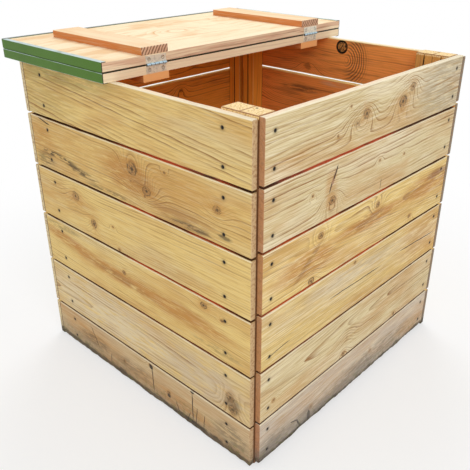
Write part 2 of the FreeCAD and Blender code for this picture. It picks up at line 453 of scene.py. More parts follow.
BOARD_MARKS = {
    "front_board_6": {
        "cut": Cut((0.1, -0.06), (0.06, -0.02), 1.3, 0.009, 0.5),
        "knots": [Knot(0.132, 0.828, 0.01, 1.2, 5.0, 3.0, 0.8), Knot(0.092, 0.8, 0.014, 1.2, 7.0, 2.6, 1.0),
                  Knot(-0.066, 0.803, 0.012, 1.1, 6.0, 2.8, 0.9), Knot(-0.1, 0.788, 0.008, 1.6, 5.0, 3.6, 0.5),
                  Knot(-0.172, 0.776, 0.003, 1.2, 1.0), Knot(-0.13, 0.832, 0.003, 1.2, 1.0)],
        "stains": [Stain(-0.33, 0.76, 0.07, 0.02, "stain", 0.35), Stain(0.34, 0.8, 0.26, 0.14, "ash", 0.42)],
    },
    "front_board_5": {
        "cut": Cut((0.16, -0.06), (0.01, 0.0), 1.35, 0.003, 0.6),
        "knots": [Knot(-0.176, 0.63, 0.01, 1.2, 7.0, 3.4, 1.0), Knot(-0.25, 0.664, 0.003),
                  Knot(0.013, 0.673, 0.003), Knot(0.13, 0.66, 0.003)],
        "stains": [Stain(-0.183, 0.665, 0.03, 0.06, "stain", 0.6),
                   Stain(-0.176, 0.682, 0.034, 0.007, "knot", 1.0, 2.4)],
        "cracks": [Crack((0.027, 0.592), (0.029, 0.625), 0.0012, 0.001),
                   Crack((-0.163, 0.712), (-0.178, 0.676), 0.003, 0.004),
                   Crack((-0.182, 0.676), (-0.19, 0.65), 0.0024, 0.003)],
    },
    "front_board_4": {
        "tone": "honey",
        "cut": Cut((0.03, -0.04), (-0.05, 0.02), 1.1, 0.016, 0.44),
        "knots": [Knot(0.027, 0.553, 0.007), Knot(-0.211, 0.555, 0.007), Knot(-0.238, 0.45, 0.009, 1.2, 3.0),
                  Knot(0.203, 0.461, 0.005, 1.6)],
        "stains": [Stain(0.29, 0.53, 0.2, 0.045, "stain", 1.0, 0.04),
                   Stain(0.0, 0.522, 0.22, 0.03, "stain", 1.0), Stain(-0.25, 0.5, 0.16, 0.05, "stain", 0.9),
                   Stain(0.35, 0.545, 0.09, 0.02, "late", 0.7),
                   Stain(-0.01, 0.524, 0.1, 0.014, "late", 0.6, 0.1),
                   Stain(-0.25, 0.505, 0.09, 0.012, "late", 0.7, 0.8),
                   Stain(0.33, 0.55, 0.06, 0.016, "knot", 0.6)],
    },
    "front_board_3": {
        "tone": "honey",
        "cut": Cut((-0.15, -0.05), (0.0, 0.02), 0.9, 0.005, 0.34),
        "knots": [Knot(-0.055, 0.422, 0.004)],
        "stains": [Stain(-0.05, 0.4, 0.3, 0.03, "silver", 0.4), Stain(0.36, 0.36, 0.26, 0.12, "stain", 0.6),
                   Stain(-0.18, 0.36, 0.6, 0.3, "ash", 0.16)],
        "cracks": [Crack((-0.176, 0.362), (0.092, 0.356), 0.0018), Crack((0.16, 0.362), (0.388, 0.35), 0.002),
                   Crack((-0.4, 0.315), (-0.3, 0.325), 0.0014)],
    },
    "front_board_2": {
        "cut": Cut((0.02, -0.028), (0.02, 0.03), 1.1, 0.014, 0.5),
        "knots": [Knot(-0.06, 0.196, 0.004, 1.3, 2.6, 8.0, 0.4), Knot(-0.071, 0.149, 0.007, 1.2, 3.0),
                  Knot(0.187, 0.149, 0.004), Knot(-0.36, 0.18, 0.004)],
        "stains": [Stain(0.12, 0.2, 0.22, 0.03, "stain", 0.35), Stain(-0.22, 0.17, 0.16, 0.03, "stain", 0.3)],
        "cracks": [Crack((0.187, 0.138), (0.189, 0.155), 0.0014, 0.001)],
    },
    "front_board_1": {
        "tone": "silver",
        "cut": Cut((-0.12, -0.04), (0.02, 0.02), 0.7, 0.012, 0.36),
        "knots": [Knot(-0.206, 0.056, 0.006, 1.0, 3.0, 4.0, 0.5),
                  Knot(0.071, 0.078, 0.006, 1.3, 3.0, 3.0, 0.6)],
        "stains": [Stain(0.1, 0.06, 0.26, 0.04, "mould", 0.35), Stain(-0.35, 0.05, 0.08, 0.04, "soil", 0.3),
                   Stain(0.32, 0.05, 0.12, 0.04, "stain", 0.4), Stain(-0.2, 0.09, 0.5, 0.2, "silver", 0.6)],
        "cracks": [Crack((-0.2155, 0.052), (-0.2135, 0.004), 0.008, 0.002),
                   Crack((-0.292, 0.06), (-0.258, 0.048), 0.0022, 0.002),
                   Crack((-0.266, 0.052), (-0.242, 0.008), 0.0038, 0.002)],
    },
    "left_board_6": {
        "cut": Cut((-0.115, -0.045), (0.09, 0.02), 1.35, 0.003, 0.54),
        # painted green shade and reflection of the lid, beneath its edge
        "stains": [Stain(0.2, 0.86, 0.29, 0.06, "moss_and_lid_reflection", 0.5), Stain(0.36, 0.78, 0.26, 0.12, "moss_and_lid_reflection", 0.25)],
    },
    "left_board_5": {
        "cut": Cut((-0.12, -0.045), (0.02, 0.03), 1.2, 0.012, 0.44),
        "knots": [Knot(-0.05, 0.672, 0.015, 1.2, 9.0, 2.6, 1.0), Knot(-0.098, 0.63, 0.011, 1.3, 7.0, 3.0, 0.9),
                  Knot(-0.042, 0.64, 0.0025), Knot(-0.09, 0.615, 0.003),
                  Knot(-0.325, 0.655, 0.009, 1.3, 4.0, 3.0, 0.8), Knot(-0.165, 0.693, 0.003)],
        "stains": [Stain(0.27, 0.624, 0.11, 0.011, "mould", 0.95, 0.07),
                   Stain(0.17, 0.606, 0.1, 0.012, "mould", 0.8, 0.1),
                   Stain(0.05, 0.585, 0.12, 0.008, "mould", 0.6), Stain(0.33, 0.6, 0.06, 0.03, "mould", 0.5),
                   Stain(-0.03, 0.65, 0.14, 0.06, "stain", 0.9, 0.15),
                   Stain(-0.075, 0.65, 0.07, 0.03, "late", 0.6, 0.4),
                   Stain(-0.245, 0.588, 0.09, 0.01, "mould", 0.7),
                   Stain(-0.345, 0.598, 0.03, 0.008, "mould", 0.7), Stain(0.34, 0.66, 0.08, 0.05, "stain", 0.6),
                   Stain(0.0, 0.646, 0.8, 0.12, "stain", 0.4), Stain(-0.22, 0.6, 0.14, 0.03, "knot", 0.5)],
        "cracks": [Crack((0.345, 0.716), (0.285, 0.702), 0.0026)],
    },
    "left_board_4": {
        "cut": Cut((0.13, -0.05), (0.0, 0.03), 1.0, 0.006, 0.4),
        "knots": [Knot(0.207, 0.528, 0.013, 1.2, 4.0, 2.6, 0.8), Knot(0.134, 0.47, 0.012, 1.0, 4.0, 2.8),
                  Knot(0.03, 0.432, 0.004), Knot(0.05, 0.49, 0.003)],
        "stains": [Stain(0.24, 0.5, 0.18, 0.05, "stain", 0.45), Stain(-0.18, 0.45, 0.22, 0.03, "stain", 0.35),
                   Stain(0.3, 0.535, 0.09, 0.01, "stain", 0.6)],
    },
    "left_board_3": {
        "cut": Cut((-0.14, -0.06), (0.03, 0.02), 0.9, 0.006, 0.38),
        "knots": [Knot(-0.276, 0.402, 0.008, 1.3, 3.0), Knot(-0.334, 0.387, 0.004, 1.3),
                  Knot(0.02, 0.368, 0.006, 1.2, 2.0)],
        "stains": [Stain(0.26, 0.368, 0.2, 0.026, "stain", 1.0, 0.1),
                   Stain(0.06, 0.348, 0.2, 0.03, "stain", 1.0, 0.02),
                   Stain(-0.18, 0.345, 0.26, 0.036, "stain", 0.95, 0.02),
                   Stain(0.05, 0.346, 0.18, 0.014, "late", 0.5, 0.06),
                   Stain(0.3, 0.405, 0.12, 0.012, "mould", 0.35),
                   Stain(-0.32, 0.3, 0.12, 0.015, "mould", 0.35)],
    },
    "left_board_2": {
        "cut": Cut((-0.015, -0.03), (0.01, 0.05), 1.2, 0.007, 0.42),
        "knots": [Knot(-0.357, 0.181, 0.013, 1.0, 3.0, 2.6, 0.75),
                  Knot(-0.366, 0.148, 0.014, 1.0, 3.0, 2.6, 0.75)],
        "stains": [Stain(-0.365, 0.165, 0.035, 0.04, "mould", 0.5), Stain(0.12, 0.19, 0.4, 0.1, "cream_and_highlight", 0.5),
                   Stain(-0.05, 0.2, 0.9, 0.3, "silver", 0.3), Stain(-0.26, 0.18, 0.2, 0.09, "silver", 0.5)],
    },
    "left_board_1": {
        "tone": "rose",
        "cut": Cut((0.12, -0.05), (0.0, 0.03), 0.8, 0.01, 0.38),
        "knots": [Knot(-0.057, 0.112, 0.005, 1.0, 3.0), Knot(-0.221, 0.115, 0.003, 1.0, 2.0),
                  Knot(-0.13, 0.058, 0.006, 1.0, 3.0), Knot(0.06, 0.06, 0.004)],
        "stains": [Stain(0.24, 0.07, 0.16, 0.04, "stain", 0.5), Stain(0.2, 0.06, 0.1, 0.03, "mould", 0.5),
                   Stain(-0.17, 0.05, 0.16, 0.03, "stain", 0.5), Stain(-0.36, 0.06, 0.07, 0.05, "mould", 0.45),
                   Stain(0.02, 0.06, 0.12, 0.03, "mould", 0.35)],
        "cracks": [Crack((-0.063, 0.117), (-0.068, 0.018), 0.0022, 0.006),
                   Crack((-0.223, 0.12), (-0.222, 0.012), 0.0022, 0.004),
                   Crack((-0.158, 0.05), (-0.17, 0.012), 0.0018, 0.008),
                   Crack((0.22, 0.112), (0.18, 0.035), 0.0018, 0.008),
                   Crack((0.12, 0.06), (0.128, 0.016), 0.0016, 0.006),
                   Crack((-0.24, 0.078), (-0.233, 0.008), 0.0016, 0.006),
                   Crack((-0.268, 0.07), (-0.262, 0.018), 0.0014, 0.006),
                   Crack((-0.214, 0.046), (-0.198, 0.0), 0.0016, 0.006),
                   Crack((-0.061, 0.098), (-0.0612, 0.116), 0.01, 0.002),
                   Crack((-0.2225, 0.11), (-0.2232, 0.125), 0.009, 0.002),
                   Crack((-0.1295, 0.042), (-0.1302, 0.056), 0.0084, 0.002)],
    },
    "right_board_6": {
        "cut": Cut((0.16, 0.08), (0.01, -0.01), 1.0, 0.003, 0.6),
        "knots": [Knot(0.076, 0.764, 0.012, 1.1, 6.0, 3.6)],
        "arcs": (-0.07, 0.802, 0.078),
        "pocket": (-0.051, 0.8395, 0.02),
    },
    "right_board_5": {
        "cut": Cut((0.16, 0.08), (0.02, -0.02), 0.9, 0.004, 0.6),
        "knots": [Knot(0.28, 0.67, 0.008, 1.4, 4.0, 5.0, 0.8)],
        "inner_stains": [Stain(0.1, 0.688, 0.1, 0.016, "gap", 0.8),
                         Stain(-0.03, 0.722, 0.07, 0.012, "silver", 0.35)],
    },
}
WALL_TONES = {"front": "straw", "back": "straw", "left": "honey", "right": "honey"}
RAGGED_BOARDS = [wall + "_board_1" for wall in WALLS]
# Where along each wall light from inside shows in the gaps
GLOWS = {"front": (-0.44, 0.12), "left": (-0.40, 0.04)}


def inner_face(wall):
    """How far from the bin's middle a wall's boards face inward."""
    outer, inward = WALLS[wall][2:]
    return abs(outer + inward * BOARD_THICKNESS)


def screw_places(wall, low, high):
    """Where the heads of a board's screws are, along it and up from the ground."""
    along_axis, deep_axis, outer, inward = WALLS[wall]
    heads = [head_of(corners, deep_axis, -inward)[0] for corners in islands(wall + "_board_screws")]
    return [(head[along_axis], head.z) for head in heads if low[2] < head.z < high[2]]


def random_marks(node):
    """A cut and some knots for a board whose own marks aren't seen."""
    chance = random.Random(node)
    low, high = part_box(node)
    middle = (low[2] + high[2]) / 2
    side = chance.uniform(0.06, 0.16) * chance.choice((-1, 1))
    cut = Cut((side, chance.choice((-0.06, 0.08))), (chance.uniform(-0.02, 0.02), chance.uniform(-0.03, 0.03)),
              chance.uniform(0.9, 1.2), 0.005, chance.uniform(0.38, 0.5))
    knots = [Knot(chance.uniform(-0.33, 0.30), middle + chance.uniform(-0.045, 0.045),
                  chance.uniform(0.004, 0.010), 1.2, chance.uniform(3.0, 5.0), 3.0)
             for count in range(chance.randint(1, 3))]
    return {"cut": cut, "knots": knots}


def board_finish(node, number):
    """The finish of one wall board, pale outside, orange brown inside and with a painted highlight along its
    upper edge.
    """
    look = bpy.context.scene.timber_look
    wall = node.split("_")[0]
    along_axis, deep_axis, outer, inward = WALLS[wall]
    low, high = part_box(node)
    middle = (low[2] + high[2]) / 2
    half = (high[2] - low[2]) / 2
    marks = BOARD_MARKS.get(node) or random_marks(node)
    cut = marks["cut"]
    stains = marks.get("stains", ())
    axes = (along_axis, 2, deep_axis)
    timber = Timber(node + "_wood", axes, (1, 1, inward), (0.0, middle, outer * inward), number)
    timber.marks_from = middle
    line, fibre = timber.grow(cut, look.ring_spacing, marks.get("knots", ()))
    # the weathered outside
    base = timber.coats(getattr(look, marks.get("tone", WALL_TONES[wall])))
    base.lay(look.stain, timber.patches().step(0.42, 0.68, 0.5))
    lighter = look.straw if wall == "left" else look.cream_and_highlight
    base.lay(lighter, timber.patches(2.0, 9.0, 70.0).step(0.48, 0.7, 0.5))
    timber.add_stains(base, stains, look)
    base.lay(look.late, line * (cut.contrast * 2.2))
    base.lay(look.grain, fibre.step(0.47, 0.72, 0.65))
    base.lay(lighter, fibre.fall(0.3, 0.5, 0.5))
    timber.add_knots(base, look)
    timber.add_stains(base, stains, look, spotty=True)
    timber.add_cracks(base, marks.get("cracks", ()), look)
    if wall in SEEN_WALLS:
        # the wood is painted darker round the screw heads
        timber.darken_round_screws(base, screw_places(wall, low, high), look)
    # its upper arris, with a painted highlight in cream, and its lower arris, darker
    outward = (0.001, 0.003)
    upper = timber.across.step(half - 0.0036, half - 0.0018) * timber.deep.fall(*outward, 0.7)
    base.lay(look.cream_and_highlight, upper)
    lower = timber.across.fall(0.0018 - half, 0.0034 - half) * timber.deep.fall(*outward, 0.35)
    base.lay(look.grain, lower)
    start, end = low[along_axis], high[along_axis]
    to_end = (end - start) / 2 - abs(timber.along - (start + end) / 2)
    not_end = to_end.step(0.0016, 0.0030)
    # the sheltered inside
    shade = timber.coats(look.inside_right if wall == "right" else look.inside).lay(look.gap, line * 0.7)
    shade.lay(look.gap, timber.patches(5.0, 45.0, 33.0).step(0.5, 0.72, 0.4))
    shade.lay(look.gap, fibre.step(0.5, 0.75, 0.35))
    if timber.from_knots:
        shade.lay(look.gap, timber.knot_bodies * 0.7)
    timber.add_stains(shade, marks.get("inner_stains", ()), look)
    if "arcs" in marks:
        along, up, radius = marks["arcs"]
        away = timber.from_place(along, up, (1.0, 0.8)) + timber.patches(12.0, 12.0, 48.0) * 0.020
        crescent = away.fall(radius * 0.8, radius * 1.2) * timber.along.fall(along - 0.024, along + 0.016)
        shade.lay(look.gap, (away * 820.0).sine().step(-0.4, 0.8, 0.85) * crescent)
    inner = BOARD_THICKNESS - 0.0035
    base.lay(shade, timber.deep.step(inner, BOARD_THICKNESS - 0.0005, 0.88) * not_end)
    # painted shade: the walls and floor of the pocket round the loose knot are painted near black
    if "pocket" in marks:
        along, up, radius = marks["pocket"]
        base.lay(look.crack, timber.from_place(along, up).fall(radius, radius + 0.0014, 0.97)
                 * timber.deep.step(0.005, 0.006))
    # the edges inside the gaps: painted shade on the front and left walls, with painted light glowing through
    # in places, and a painted lit tone on the other walls, seen from inside
    reach = (0.0012, 0.0022) if wall in SEEN_WALLS else (0.0024, 0.0042)
    edge = (half - abs(timber.across)).fall(*reach) * not_end
    # painted highlight: the whole top edge of each wall's top board is painted cream
    if node.endswith("6"):
        upper = timber.across.step(half - 0.0030, half - 0.0008, 0.85)
        base.lay(look.cream_and_highlight, upper)
        edge = edge * (1 - upper)
    if wall in SEEN_WALLS:
        start, end = GLOWS[wall]
        lit = timber.patches(4.0, 0.0, 55.0).step(0.40, 0.52) * timber.along.step(start, start + 0.08)
        lit = lit * timber.along.fall(end - 0.08, end, 0.85) * timber.across.step(0.20 - middle, 0.42 - middle)
        base.lay(timber.coats(look.gap).lay(look.glow, lit), edge * timber.deep.step(0.0018, 0.0036, 0.94))
    else:
        base.lay(look.lit_gap, edge * timber.deep.step(0.003, 0.006))
    # the sawn ends
    ends = (1 - not_end) * to_end.fall(0.0008, 0.0016)
    sawn = timber.coats({"front": look.post_end, "right": look.ash, "back": look.straw}.get(wall, look.rose))
    sawn.lay(look.knot, timber.noise(200.0, 160.0, 77.0).step(0.45, 0.65, 0.6))
    base.lay(sawn, ends * 0.85)
    # painted shade on the inner strip of each sawn end
    base.lay(look.gap, ends * timber.deep.step(inner, BOARD_THICKNESS - 0.0010, 0.9))
    if node in RAGGED_BOARDS:
        cloud = timber.noise(14.0, 40.0, 90.0, 5.0, 0.75)
        from_ground = timber.across + middle
        ash = (from_ground - cloud * 0.10).fall(-0.035, 0.035, 0.75)
        base.lay(look.ash, ash * (timber.along.fall(-0.10, 0.30, 0.7) + 0.3 if wall == "front" else 0.45))
        base.lay(look.soil, (from_ground - cloud * 0.036).fall(-0.002, 0.010) * (cloud + 0.35))
        base.lay(look.moss_and_lid_reflection, ash * timber.noise(90.0, 120.0, 95.0, 3.0).step(0.52, 0.62, 0.5))
    return timber.done(base)


# Shapes

def copied(node):
    """A CAD node's shape in bmesh, with its doubled corners joined."""
    shape = bmesh.new()
    shape.from_mesh(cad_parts[node].data)
    bmesh.ops.remove_doubles(shape, verts=shape.verts[:], dist=CLOSE)
    return shape


def whole_faced(node):
    """A CAD node's shape with its flat faces made whole again."""
    shape = copied(node)
    bmesh.ops.dissolve_limit(shape, angle_limit=math.radians(0.4), verts=shape.verts[:], edges=shape.edges[:])
    return shape


def add_piece(name, shape, body, material, nodes=(), crease=35.0):
    """Turn a bmesh into a piece that rides on a body and stands for the nodes it is made from."""
    mesh = bpy.data.meshes.new(name)
    bmesh.ops.recalc_face_normals(shape, faces=shape.faces[:])
    shape.to_mesh(mesh)
    shape.free()
    mesh.shade_smooth()
    mesh.set_sharp_from_angle(angle=math.radians(crease))
    mesh.materials.append(material)
    piece = bpy.data.objects.new(name, mesh)
    even_out(piece)
    bpy.context.scene.collection.objects.link(piece)
    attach(piece, body)
    if nodes:
        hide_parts(*nodes)


def even_out(piece):
    piece.modifiers.new("even_faces", "WEIGHTED_NORMAL").keep_sharp = True


def ripple(place, scale, seed):
    """Smooth noise from 0 to 1 along a line."""
    return 0.5 + 0.5 * noise.noise(Vector((place * scale, seed * 5.3, 0.7)))


def cut_short(shape, axis, stations):
    """Cut a shape's faces across at each station along an axis."""
    normal = Vector([float(index == axis) for index in range(3)])
    ahead = shape.faces[:]
    for station in sorted(stations):
        spans = [(face, min(vertex.co[axis] for vertex in face.verts)) for face in ahead
                 if max(vertex.co[axis] for vertex in face.verts) > station + CLOSE]
        crossed = [face for face, start in spans if start < station - CLOSE]
        ahead = [face for face, start in spans if start >= station - CLOSE]
        edges = dict.fromkeys(edge for face in crossed for edge in face.edges)
        corners = dict.fromkeys(vertex for face in crossed for vertex in face.verts)
        made = bmesh.ops.bisect_plane(shape, geom=crossed + list(edges) + list(corners), dist=CLOSE,
                                      plane_co=normal * station, plane_no=normal)
        ahead += [part for part in made["geom"] if isinstance(part, bmesh.types.BMFace)]


def worn_board(node, number):
    """A board cut into short lengths, so that its edges can be worn, its ends eased and its foot chipped."""
    look = bpy.context.scene.timber_look
    along_axis, deep_axis = WALLS[node.split("_")[0]][:2]
    low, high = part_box(node)
    middle = Vector([(one + other) / 2 for one, other in zip(low, high)])
    start = low[along_axis]
    length = high[along_axis] - start
    ragged = look.ragged_edge if node in RAGGED_BOARDS else 0.0
    lengths = 120 if ragged else 48
    end_ease = 0.0014
    edge = 0.0032
    shape = whole_faced(node)
    stations = [start + end_ease, start + length - end_ease]
    cut_short(shape, along_axis, stations + [start + length * step / lengths for step in range(1, lengths)])
    wear = look.edge_wear
    for vertex in shape.verts:
        co = vertex.co
        run = co[along_axis]
        if co.z > high[2] - edge:
            co.z -= wear * ripple(run, 26, number) ** 2 * 1.4
        elif co.z < low[2] + edge:
            co.z += wear * ripple(run, 26, number + 50) ** 2 * 1.4
            chips = ripple(run, 16, number + 90) * 0.55 + ripple(run, 75, number + 120) * 0.45
            co.z += ragged * max(0.0, chips - 0.30) * 1.9
        if min(abs(run - start), abs(run - start - length)) < 1e-4:
            for axis in (2, deep_axis):
                away = co[axis] - middle[axis]
                half = (high[axis] - low[axis]) / 2
                if abs(away) > half - edge:
                    co[axis] = middle[axis] + away * (1 - end_ease * 0.8 / half)
            inward = 1 if run - start < length / 2 else -1
            co[along_axis] += inward * wear * ripple(co.z, 30, number + 200) * 0.8
    return shape


def rounded(shape, edges, radius):
    bmesh.ops.bevel(shape, geom=edges, offset=radius, segments=3, profile=0.5, affect="EDGES",
                    clamp_overlap=True)
    return shape


def eased(node, ease, straight):
    """A CAD node's shape with its convex edges rounded where they are longer than a straight."""
    shape = whole_faced(node)
    edges = [edge for edge in shape.edges
             if edge.calc_length() > straight and edge.is_manifold and edge.calc_face_angle_signed() > 0.9]
    return rounded(shape, edges, ease)


def islands(node):
    """The separate solids of a group of fasteners, each as the list of its corners."""
    shape = copied(node)
    groups = []
    seen = set()
    for start in shape.verts:
        if start in seen:
            continue
        seen.add(start)
        front = [start]
        group = []
        while front:
            vertex = front.pop()
            group.append(vertex.co.copy())
            for edge in vertex.link_edges:
                other = edge.other_vert(vertex)
                if other not in seen:
                    seen.add(other)
                    front.append(other)
        groups.append(group)
    shape.free()
    return groups


def head_of(corners, axis, outward):
    """The middle and radius of a screw's flat head, which faces along an axis."""
    top = max(corner[axis] * outward for corner in corners)
    rim = [corner for corner in corners if corner[axis] * outward > top - LEVEL]
    middle = sum(rim, Vector()) / len(rim)
    return middle, max((corner - middle).length for corner in rim)


def add_head(shape, middle, radius, axis, outward, turn, sunk):
    """A countersunk head with a cross recess, set a little below the surface."""
    out = Vector([float(outward) if index == axis else 0.0 for index in range(3)])
    side = Vector((0, 0, 1)) if axis != 2 else Vector((1, 0, 0))
    side = Matrix.Rotation(turn, 3, out) @ side
    up = out.cross(side)
    size = radius * 0.98
    arm = size * 0.60
    slot = size * 0.15
    cross = [(arm, -slot), (arm, slot), (slot, slot), (slot, arm), (-slot, arm), (-slot, slot),
             (-arm, slot), (-arm, -slot), (-slot, -slot), (-slot, -arm), (slot, -arm), (slot, -slot)]

    def corner(x, y, z):
        return shape.verts.new(middle + side * x + up * y + out * z)

    turns = [math.atan2(y, x) for x, y in cross]
    rim = []
    for this, following in zip(turns, turns[1:] + turns[:1]):
        gap = (following - this) % math.tau
        for angle in (this, this + gap / 2):
            rim.append(corner(size * math.cos(angle), size * math.sin(angle), -sunk))
    brink = [corner(x, y, -sunk - radius * 0.04) for x, y in cross]
    foot = [corner(x * 0.55, y * 0.8, -sunk - radius * 0.5) for x, y in cross]
    spokes = [vertex.co - middle for vertex in rim]
    under = [corner(spoke.dot(side) * 0.5, spoke.dot(up) * 0.5, -sunk - radius * 0.55) for spoke in spokes]
    for index in range(len(cross)):
        after = (index + 1) % len(cross)
        shape.faces.new((rim[2 * index], rim[2 * index + 1], rim[2 * after], brink[after], brink[index]))
        shape.faces.new((brink[index], brink[after], foot[after], foot[index]))
    for index in range(len(rim)):
        after = (index + 1) % len(rim)
        shape.faces.new((rim[index], under[index], under[after], rim[after]))
    shape.faces.new(foot)
    shape.faces.new(list(reversed(under)))


# Finishes of the other pieces

def post_finish(node, number):
    """Vertical grain, orange inside the bin and pale on the sawn top."""
    look = bpy.context.scene.timber_look
    low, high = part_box(node)
    top = high[2]
    half = (high[0] - low[0]) / 2
    middle = ((low[0] + high[0]) / 2, (low[1] + high[1]) / 2)
    timber = Timber(node + "_wood", (2, 0, 1), (1, 1, 1), (0.0, *middle), number)
    chance = random.Random(node)
    cut = Cut((chance.uniform(-0.05, 0.05), chance.choice((-0.04, 0.04))), (0.01, 0.02), 0.9, 0.006, 0.5)
    line, fibre = timber.grow(cut, look.ring_spacing)
    base = timber.coats(look.post).lay(look.stain, timber.patches(2.0, 60.0).step(0.45, 0.65, 0.4))
    base.lay(look.late, line * 0.5)
    base.lay(look.stain, fibre.step(0.48, 0.75, 0.3))
    sides = abs(timber.across), abs(timber.deep)
    # the sawn top
    sawn = timber.along.step(top - 0.0070, top - 0.0050)
    rough = timber.noise(260.0, 260.0, detail=3.0)
    end = timber.coats(look.post_top).lay(look.post, line * 0.35)
    end.lay(look.grain, rough.step(0.50, 0.66) * 0.75)
    end.lay(look.cream_and_highlight, (1 - rough.step(0.34, 0.46)) * 0.6)
    # painted shadow line: an orange-brown outline along the top edges, for the shade in the groove where a post
    # meets its neighbour and the boards
    rim = sides[0].max(sides[1]).step(half - 0.0030, half - 0.0010)
    end.lay(look.knot, rim * timber.along.step(top - 0.0022, top - 0.0016, 0.85))
    base.lay(end, sawn * 0.95)
    # the joints between the posts and the faces behind the boards lie in shade; the back right corner is bare
    x, y, z = timber.finish.parts(timber.finish.place())
    front, back, left, right = [inner_face(wall) for wall in WALLS]
    arris = sides[0].min(sides[1]).step(half - 0.0016, half - 0.0006, 0.6)
    right_face = x.step(right - 0.0025, right - 0.0010)
    back_face = y.step(back - 0.0025, back - 0.0010)
    behind = (-x).step(left - 0.0020, left - 0.0005).max((-y).step(front - 0.0020, front - 0.0005))
    behind = behind.max(right_face * y.fall(back - 0.018, back - 0.016))
    behind = behind.max(back_face * x.fall(right - 0.018, right - 0.016))
    if "back_right" in node:
        base.lay(timber.coats(look.inside).lay(look.gap, line * 0.5), (1 - sawn) * 0.6)
        base.lay(look.post_top, arris * (1 - sawn))
    else:
        behind = behind.max(arris)
    base.lay(look.gap, behind * timber.along.fall(top - 0.010, top - 0.004, 0.92))
    bare = right_face.max(back_face) * x.step(right - 0.020, right - 0.016)
    bare = bare * y.step(back - 0.020, back - 0.016)
    base.lay(timber.coats(look.straw).lay(look.grain, line), bare * 0.9)
    if "front_right" in node:
        base.lay(look.knot, timber.along.fall(top - 0.0070, top - 0.0050, 0.35))
    if "right" in node:
        check = sides[1].fall(0.0012, 0.0028) * (-timber.across).step(half - 0.018, half - 0.012)
        base.lay(look.crack, check * timber.along.fall(top - 0.02, top, 0.9))
    return timber.done(base)


def knot_finish(place):
    """A brown knot with its own rings, dark round the rim and split across."""
    look = bpy.context.scene.timber_look
    finish = Finish("loose_knot_wood")
    at = finish.place()
    x, y, z = finish.parts(at)
    across = y - place.y
    up = z - place.z
    cloud = finish.noise(at, 150.0, 3.0)
    away = finish.distance(across, up) * (cloud * 0.5 + 0.75)
    rim = away.step(KNOT_RADIUS - 0.0020, KNOT_RADIUS - 0.0006)
    base = Coats(finish, look.stain).lay(look.knot, (away / 0.0036).fraction() * 0.7)
    base.lay(look.crack, cloud.step(0.54, 0.62, 0.8))
    base.lay(look.crack, rim * 0.9)
    split = (1 - abs(across + up * 0.5 + (cloud - 0.5) * 0.010).step(0.0008, 0.0022)) * (1 - rim)
    base.lay(look.crack, split * 0.9)
    return finish.surface(base, cloud * 0.2 + 0.55, cloud - split * 2, 0.0008, 0.7, specular=0.28)


def panel_finish(node, number):
    """A lid board: pale with faint orange rings outside, orange brown where it faces into the bin."""
    look = bpy.context.scene.lid_look
    timber_look = bpy.context.scene.timber_look
    upper = node.startswith("front")
    from_fold = 0.22
    timber = Timber(node + "_wood", (0, 1, 2), (1, 1, 1), (0.0, from_fold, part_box(node)[0][2]), number)
    cut = Cut((0.03, -0.09 if upper else 0.10), (0.05, 0.05), 1.6, 0.030, 0.5)
    knots = [Knot(-0.03, 0.0, 0.006, 1.6, 5.0, 9.0, 0.4), Knot(0.22, 0.06, 0.006, 1.4, 4.0, 7.0, 0.4)]
    line, fibre = timber.grow(cut, timber_look.ring_spacing, knots)
    base = timber.coats(look.panel).lay(look.panel_grain, timber.patches(5.0, 16.0).step(0.47, 0.70, 0.6))
    base.lay(look.panel_grain, line * 0.75)
    base.lay(look.panel_grain, fibre.step(0.48, 0.75, 0.45))
    sawn = timber.coats(look.panel_edge).lay(look.panel, timber.patches(6.0, 160.0).step(0.40, 0.62, 0.7))
    sawn.lay(timber_look.knot, timber.patches(5.0, 260.0, 9.0).step(0.52, 0.62, 0.45))
    if not upper:
        sawn.lay(look.panel, 0.65)
        base.lay(timber_look.inside, (1 - timber.deep.step(0.0006, 0.0016)) * 0.4)
    base.lay(sawn, 1 - (timber.across + from_fold).step(0.0006, 0.0018))
    return timber.done(base, 0.58)


def batten_finish(node, number):
    """A batten: pale on its broad outer face, orange on its sides; the upper battens have slanting rings on
    their ends, the lower ones a painted light tone.
    """
    look = bpy.context.scene.lid_look
    timber_look = bpy.context.scene.timber_look
    low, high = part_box(node)
    upper = node.startswith("front")
    origin = (0.0, (low[0] + high[0]) / 2, -high[2] if upper else low[2])
    timber = Timber(node + "_wood", (1, 0, 2), (1, 1, -1 if upper else 1), origin, number)
    line, fibre = timber.grow(Cut((0.075, 0.055), (0.01, 0.01), 0.75, 0.004, 0.6), timber_look.ring_spacing)
    base = timber.coats(look.batten).lay(timber_look.stain, timber.patches().step(0.42, 0.7) * 0.4)
    base.lay(timber_look.late, line * 0.7)
    base.lay(look.panel_edge, fibre.step(0.45, 0.7, 0.45))
    # painted light: the lower battens' ends get a brightened tone
    end = look.batten_end
    if upper:
        pale = timber.coats(look.batten_face).lay(look.panel_grain, line * 0.7)
        pale.lay(look.panel_grain, timber.patches(4.0, 30.0).step(0.40, 0.66, 0.40))
        base.lay(pale, (1 - timber.deep.step(0.0006, 0.0018)) * 0.9)
        slant = (timber.across + timber.deep * 0.65) * 680.0 + timber.noise(0.0, 90.0, detail=1.0) * 4.0
        end = timber.coats(look.panel_edge).lay(timber_look.gap, slant.sine().step(0.0, 0.7, 0.8))
    base.lay(end, timber.along.fall(0.0006, 0.0016) * 0.9)
    return timber.done(base, 0.58)


